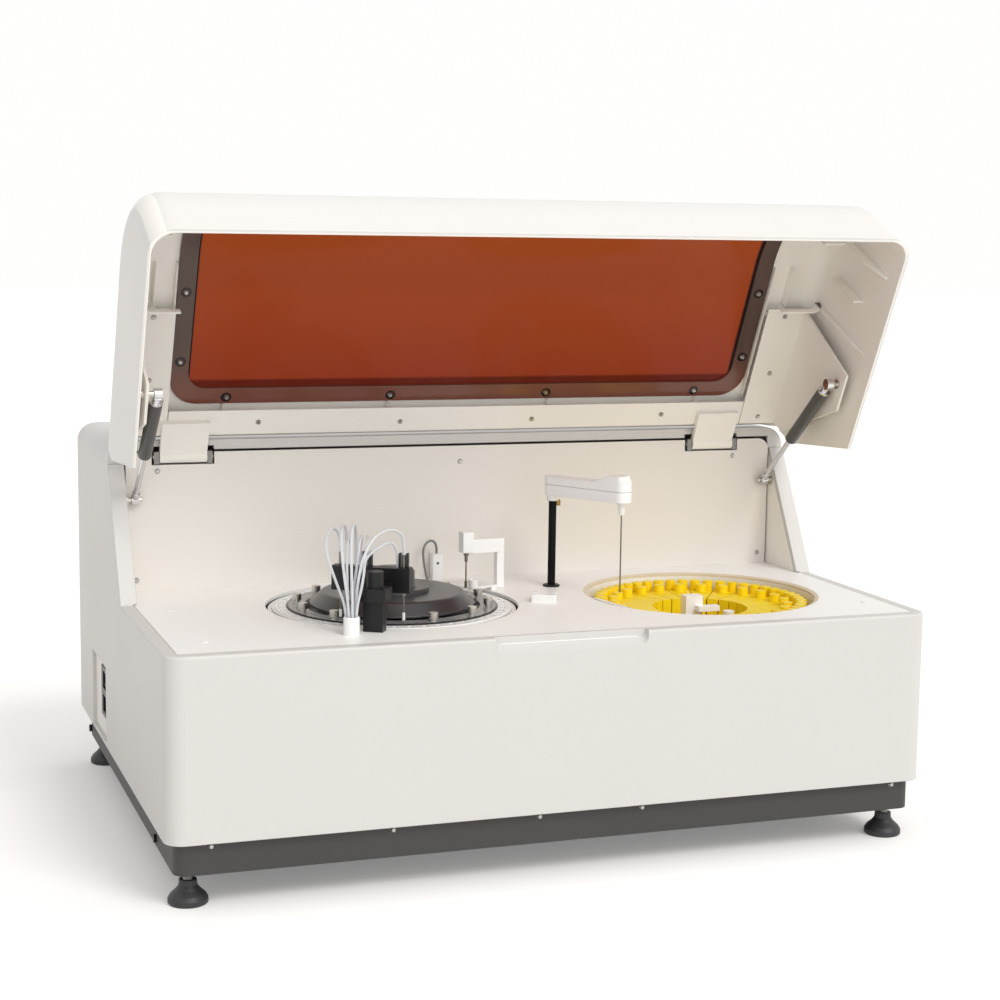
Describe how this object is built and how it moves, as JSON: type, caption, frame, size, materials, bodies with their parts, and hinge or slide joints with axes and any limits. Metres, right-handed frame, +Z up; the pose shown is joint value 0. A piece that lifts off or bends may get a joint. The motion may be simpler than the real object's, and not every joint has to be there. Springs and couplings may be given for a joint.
{
  "type": "chemistry analyzer",
  "caption": "Bench-top chemistry analyzer with a wide white casing, dark plinth, round reaction and reagent carousels on its deck and a hinged lid with an amber window, shown open.",
  "frame": {"origin": "on the floor under the middle of the casing", "axes": "+X to the right seen from the front, -Y towards the front, +Z up"},
  "size_m": [0.85, 0.62, 0.7085],
  "materials": {
    "shell_white": "fine satin texture",
    "deck_white": "smooth powder coat",
    "wall_cream": "smooth powder coat",
    "rear_grey": "powder coat",
    "plinth_grey": "fine textured powder coat",
    "foot_grey": "moulded",
    "plain_steel": "zinc plated",
    "bolt_black": "blackened",
    "hinge_grey": "satin",
    "barrel_black": "semi-gloss",
    "rod_steel": "polished",
    "amber_pane": "clear tinted",
    "frame_brown": "satin",
    "inlet_plate_white": "powder coat",
    "inlet_black": "moulded",
    "well_white": "moulded",
    "tub_pale": "moulded",
    "rotor_black": "satin",
    "cuvette_clear": "clear",
    "tube_clear": "translucent",
    "cable_grey": "smooth",
    "post_black": "satin",
    "tray_dark": "moulded",
    "bottle_yellow": "moulded",
    "motor_metal": "satin"
  },
  "bodies": {
    "casing": {"outer_housing": "shell_white", "deck_panel": "deck_white", "back_wall_panel": "wall_cream", "wing_liners": "wall_cream", "rear_top_cover": "shell_white", "rear_panel": "rear_grey", "base_plinth": "plinth_grey", "panel_screws": "plain_steel", "plinth_bolts": "bolt_black", "inlet_plate": "inlet_plate_white", "power_inlet": "inlet_black", "hinge_brackets": "hinge_grey", "hinge_pins": "plain_steel", "spring_lower_studs": "plain_steel", "foot_lock_nuts": "plain_steel", "reaction_tub": "tub_pale", "reaction_cover": "rotor_black", "cover_drum": "rotor_black", "wash_column": "rotor_black", "tube_sleeve": "well_white", "sensor_box": "well_white", "sensor_cable": "cable_grey", "wash_pots": "well_white", "post_collar": "rotor_black", "reagent_well": "well_white", "drive_motors": "motor_metal", "power_supply": "motor_metal"},
    "rocker": {"rocker_switch": "inlet_black"},
    "levelling_foot_front_left": {"foot_front_left": "foot_grey"},
    "levelling_foot_front_right": {"foot_front_right": "foot_grey"},
    "levelling_foot_rear_left": {"foot_rear_left": "foot_grey"},
    "levelling_foot_rear_right": {"foot_rear_right": "foot_grey"},
    "lid": {"lid_shell": "shell_white", "lid_window": "amber_pane", "window_frame": "frame_brown", "lid_rear_liner": "wall_cream", "lid_brackets": "wall_cream", "lid_screws": "plain_steel", "lid_ball_studs": "plain_steel", "hinge_leaves": "wall_cream"},
    "rod_left": {"spring_rod_left": "rod_steel"},
    "barrel_left": {"spring_barrel_left": "barrel_black"},
    "rod_right": {"spring_rod_right": "rod_steel"},
    "barrel_right": {"spring_barrel_right": "barrel_black"},
    "reaction_carousel": {"reaction_rotor": "rotor_black", "cuvette_ring": "cuvette_clear", "thumb_nuts": "plain_steel"},
    "wash_lifter": {"wash_head": "rotor_black", "wash_needles": "plain_steel", "wash_tubes": "tube_clear"},
    "mixer_lifter": {"mixer_shaft": "post_black"},
    "mixer_swinger": {"mixer_arm": "well_white"},
    "paddle": {"mixer_paddle": "plain_steel"},
    "sample_lifter": {"sample_post": "post_black"},
    "sample_swinger": {"sample_arm": "well_white", "sample_probe": "plain_steel"},
    "reagent_carousel": {"reagent_tray": "tray_dark", "reagent_bottles": "bottle_yellow", "bottle_caps": "bottle_yellow", "tray_handle": "well_white"}
  },
  "joints": [
    {"name": "lid_hinge", "type": "hinge", "parent": "casing", "child": "lid", "pos_m": [0, 0.054, 0.414], "axis": [1, 0, 0], "range_deg": [0, 63.4]},
    {"name": "spring_pivot_left", "type": "hinge", "parent": "casing", "child": "rod_left", "pos_m": [-0.396, 0.045, 0.367], "axis": [1, 0, 0], "range_deg": [-0.5, 65]},
    {"name": "spring_slide_left", "type": "slide", "parent": "rod_left", "child": "barrel_left", "axis": [0, -0.769, 0.6393], "range_m": [-0.0515, 0.0008]},
    {"name": "spring_pivot_right", "type": "hinge", "parent": "casing", "child": "rod_right", "pos_m": [0.396, 0.045, 0.367], "axis": [1, 0, 0], "range_deg": [-0.5, 65]},
    {"name": "spring_slide_right", "type": "slide", "parent": "rod_right", "child": "barrel_right", "axis": [0, -0.769, 0.6393], "range_m": [-0.0515, 0.0008]},
    {"name": "rocker_tilt", "type": "hinge", "parent": "casing", "child": "rocker", "pos_m": [-0.4155, 0.121, 0.1425], "axis": [0, 1, 0], "range_deg": [-7, 7]},
    {"name": "foot_front_left_turn", "type": "hinge", "parent": "casing", "child": "levelling_foot_front_left", "pos_m": [-0.3975, -0.273, 0.03], "axis": [0, 0, 1], "continuous": true},
    {"name": "foot_front_right_turn", "type": "hinge", "parent": "casing", "child": "levelling_foot_front_right", "pos_m": [0.3975, -0.273, 0.03], "axis": [0, 0, 1], "continuous": true},
    {"name": "foot_rear_left_turn", "type": "hinge", "parent": "casing", "child": "levelling_foot_rear_left", "pos_m": [-0.3975, 0.282, 0.03], "axis": [0, 0, 1], "continuous": true},
    {"name": "foot_rear_right_turn", "type": "hinge", "parent": "casing", "child": "levelling_foot_rear_right", "pos_m": [0.3975, 0.282, 0.03], "axis": [0, 0, 1], "continuous": true},
    {"name": "reaction_turn", "type": "hinge", "parent": "casing", "child": "reaction_carousel", "pos_m": [-0.134, -0.098, 0.25], "axis": [0, 0, 1], "continuous": true},
    {"name": "reagent_turn", "type": "hinge", "parent": "casing", "child": "reagent_carousel", "pos_m": [0.232, -0.124, 0.2], "axis": [0, 0, 1], "continuous": true},
    {"name": "wash_lift", "type": "slide", "parent": "casing", "child": "wash_lifter", "axis": [0, 0, 1], "range_m": [0, 0.025]},
    {"name": "mixer_lift", "type": "slide", "parent": "casing", "child": "mixer_lifter", "axis": [0, 0, 1], "range_m": [0, 0.03]},
    {"name": "mixer_swing", "type": "hinge", "parent": "mixer_lifter", "child": "mixer_swinger", "pos_m": [0.016, -0.03, 0.31], "axis": [0, 0, 1], "range_deg": [-60, 0]},
    {"name": "paddle_spin", "type": "hinge", "parent": "mixer_swinger", "child": "paddle", "pos_m": [-0.02601, -0.03397, 0.29], "axis": [0, 0, 1], "continuous": true},
    {"name": "sample_lift", "type": "slide", "parent": "casing", "child": "sample_lifter", "axis": [0, 0, 1], "range_m": [0, 0.025]},
    {"name": "sample_swing", "type": "hinge", "parent": "sample_lifter", "child": "sample_swinger", "pos_m": [0.079, -0.038, 0.37], "axis": [0, 0, 1], "range_deg": [-91, 40]}
  ],
  "couplings": [
    {"joint": "spring_pivot_left", "follows": "lid_hinge", "ratio": 1.0134},
    {"joint": "spring_slide_left", "follows": "lid_hinge", "m_per_rad": -0.04539},
    {"joint": "spring_pivot_right", "follows": "lid_hinge", "ratio": 1.0134},
    {"joint": "spring_slide_right", "follows": "lid_hinge", "m_per_rad": -0.04539}
  ]
}
